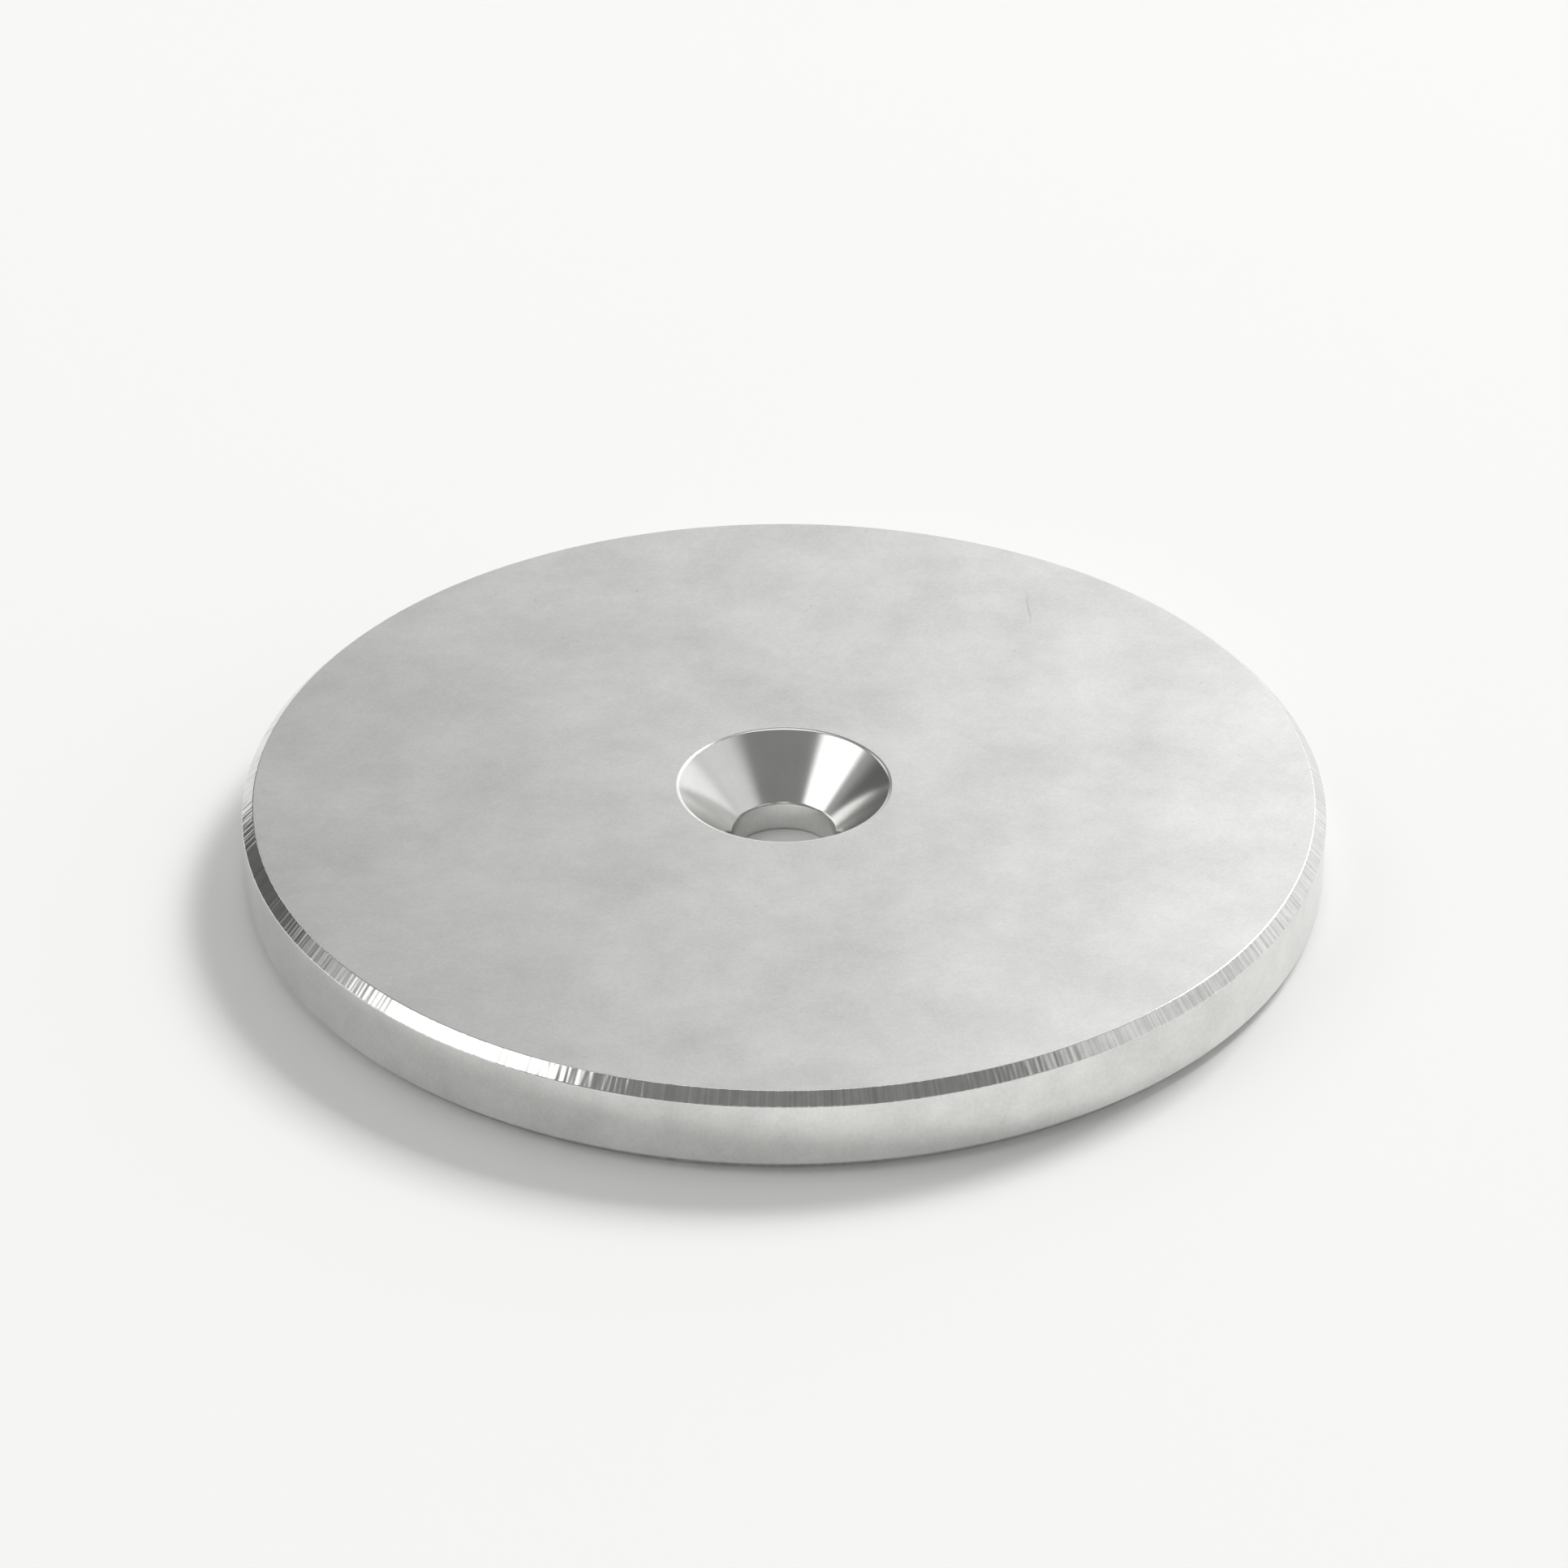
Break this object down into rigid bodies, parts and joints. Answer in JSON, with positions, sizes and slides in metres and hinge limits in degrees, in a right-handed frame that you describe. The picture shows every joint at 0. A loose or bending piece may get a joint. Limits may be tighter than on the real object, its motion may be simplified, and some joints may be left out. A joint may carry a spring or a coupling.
{
  "type": "countersunk disc magnet",
  "caption": "Flat round nickel-plated magnet with bevelled rims and a central countersunk screw hole, for fixing to wood or metal with a flat-head screw.",
  "frame": {"origin": "centre of the back face, on the axis of the bore", "axes": "+Z along the bore axis, out of the countersink, away from the back face"},
  "size_m": [0.05, 0.05, 0.004],
  "materials": {
    "nickel_plate": "satin"
  },
  "bodies": {
    "root": {"magnet_disc": "nickel_plate"}
  },
  "joints": []
}
